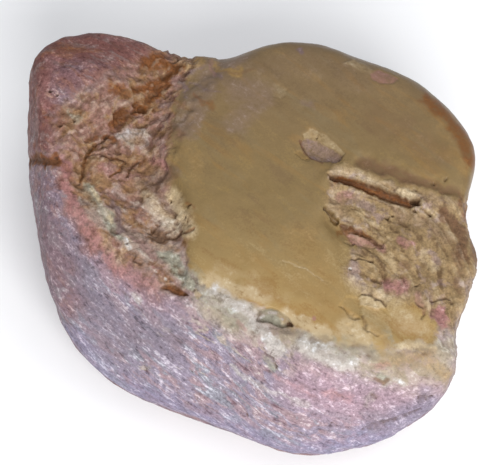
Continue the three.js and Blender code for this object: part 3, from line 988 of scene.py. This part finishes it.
# %% Stains, with edges that follow the grain
STAIN_COLOURS = {
    "haze": ((0.14, 0.092, 0.064), (0.19, 0.128, 0.09), (0.255, 0.185, 0.145)),
    "green": ((0.15, 0.145, 0.105), (0.245, 0.235, 0.18), (0.36, 0.36, 0.31)),
    "cream": ((0.27, 0.195, 0.105), (0.42, 0.32, 0.19), (0.51, 0.42, 0.28)),
    "quartz": ((0.27, 0.24, 0.21), (0.42, 0.385, 0.355), (0.56, 0.56, 0.57)),
    "rose": ((0.18, 0.075, 0.074), (0.29, 0.135, 0.127), (0.4, 0.235, 0.225)),
    "plum": ((0.09, 0.055, 0.053), (0.155, 0.102, 0.098), (0.24, 0.175, 0.165)),
    "gold": ((0.2, 0.116, 0.038), (0.25, 0.154, 0.054), (0.31, 0.205, 0.09)),
    "umber": ((0.08, 0.042, 0.022), (0.135, 0.07, 0.036), (0.19, 0.115, 0.066)),
    "rust": ((0.07, 0.02, 0.003), (0.145, 0.046, 0.008), (0.2, 0.08, 0.02)),
}
grain_tone = 0.4 * mottle + 0.3 * grit + 0.2 * streak + 0.1 * speck
for name, colours in STAIN_COLOURS.items():
    amount = at[name] * (1 + 3 * (grain_tone - 0.5))
    colour = (amount.between(0.1, 0.95) * 0.9).mix(colour, grain_tone.tones(*colours))

# Crevices are painted dark: rust, and painted shade in the hollows.
rust_and_crevice_shade = at["crevice"].between(0.1, 0.9) * (0.55 - 0.4 * at["tan"])
colour = rust_and_crevice_shade.mix(colour, (0.08, 0.035, 0.014))
# Raised edges are painted pale: wear, and a painted highlight.
worn_and_lit_edges = (0 - at["crevice"]).between(0.2, 1.0) * (0.2 - 0.15 * at["tan"])
colour = worn_and_lit_edges.mix(colour, (0.4, 0.33, 0.25))
# Cracks are painted dark brown along their length, a painted shade in them.
colour = (at["crack"] * mottle.between(0.3, 0.6) * 0.5).mix(colour, (0.07, 0.034, 0.014))
speckle = (0.5 * speck + 0.5 * grit).between(0.36, 0.64).mix((0, 0, 0), (1, 1, 1))
colour = (0.22 - 0.18 * at["tan"] - 0.1 * at["band"]).mix(colour, speckle, "OVERLAY")
print("with the stains:", len(tree.nodes), "nodes")

# %% Gloss, fine bumps and the shader
glints = streak.between(0.55, 0.75) * (1 - at["tan"])
gloss = 0.6 - 0.18 * at["tan"] - 0.25 * glints + 0.1 * (speck - 0.5)
rough_grain = 0.35 * streak + 0.2 * fibre + 0.25 * grit + 0.2 * speck
ripples = (1 - at["tan"]) * (1 - 0.6 * at["cream"]) * rough_grain + 0.1 * at["tan"] * cloudy
bumps = start.node(
    "ShaderNodeBump", None, {"Strength": 0.8, "Distance": 0.7 * MM, "Height": ripples},
)
shader = start.node("ShaderNodeBsdfPrincipled", None, {
    "Base Color": colour, "Roughness": gloss, "Normal": bumps, "Specular IOR Level": 0.22,
})
start.node("ShaderNodeOutputMaterial", None, {"Surface": shader})
stone_data.materials.append(stone_look)
print("material:", len(tree.nodes), "nodes")

# %% [markdown]
# ## The stone takes the solid's place
# The refined stone stands for the solid, and moves with the only body there is.

# %% Tie the stone to the frame
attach(stone, "root")
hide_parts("stone")
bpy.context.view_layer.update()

# %% [markdown]
# ## Floor, light and camera
# The stone lies on a plain pale floor. The light is soft and comes mostly from the front, where it
# makes the rind bright and leaves the slots dark, as the picture shows.

# %% Floor
FLOOR_SIZE = 3.0
floor_mesh = bmesh.new()
bmesh.ops.create_grid(floor_mesh, x_segments=1, y_segments=1, size=FLOOR_SIZE)
floor_data = bpy.data.meshes.new("floor")
floor_mesh.to_mesh(floor_data)
floor_mesh.free()
floor = bpy.data.objects.new("floor", floor_data)
bpy.context.scene.collection.objects.link(floor)
floor_look = bpy.data.materials.new("pale_floor")
floor_look.use_nodes = True
floor_shader = floor_look.node_tree.nodes["Principled BSDF"]
floor_shader.inputs["Base Color"].default_value = (0.94, 0.94, 0.95, 1)
floor_shader.inputs["Roughness"].default_value = 0.9
floor_data.materials.append(floor_look)
floor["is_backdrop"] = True
print("floor:", 2 * FLOOR_SIZE, "m wide")

# %% Lights
LIGHTS = [
    ("front_light", 14, 33, 1.1, 0.6, 13.4),
    ("left_light", -60, 40, 1.2, 0.8, 0.8),
    ("top_light", 100, 60, 1.2, 1.0, 3.4),
]
for name, azimuth, elevation, distance, size, power in LIGHTS:
    lamp = bpy.data.lights.new(name, "AREA")
    lamp.energy = power
    lamp.size = size
    light = bpy.data.objects.new(name, lamp)
    bpy.context.scene.collection.objects.link(light)
    turn, lift = math.radians(azimuth), math.radians(elevation)
    way = Vector((math.sin(turn) * math.cos(lift), -math.cos(turn) * math.cos(lift), math.sin(lift)))
    light.location = MIDDLE + distance * way
    light.rotation_euler = way.to_track_quat("Z", "Y").to_euler()

sky = bpy.data.worlds.new("studio")
sky.use_nodes = True
sky.node_tree.nodes["Background"].inputs["Color"].default_value = (0.95, 0.97, 1.0, 1)
sky.node_tree.nodes["Background"].inputs["Strength"].default_value = 0.55
bpy.context.scene.world = sky
bpy.context.scene.view_settings.view_transform = "Standard"
print("lights:", [entry[0] for entry in LIGHTS])

# %% Camera
SENSOR_WIDTH = 36.0
lens = bpy.data.cameras.new("eye")
lens.sensor_width = SENSOR_WIDTH
lens.lens = SENSOR_WIDTH * EYE_DISTANCE / (PICTURE_SIZE[0] * PIXEL)
eye = bpy.data.objects.new("eye", lens)
bpy.context.scene.collection.objects.link(eye)
eye.location = MIDDLE + EYE_DISTANCE * TOWARD_EYE
eye.rotation_euler = TOWARD_EYE.to_track_quat("Z", "Y").to_euler()
bpy.context.scene.camera = eye
print("camera: lens", round(lens.lens, 1), "mm at", tuple(round(x, 3) for x in eye.location))

# %% [markdown]
# ## The size
# The stone's points were clipped to the solid's box when they moved, and both boxes are printed.
# The stone may not grow past the solid's box.

boxes = {"cad": cad_box, "visual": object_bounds()}
for name, (least, most) in boxes.items():
    print(name, "box:", [round((b - a) / MM, 1) for a, b in zip(least, most)], "mm")
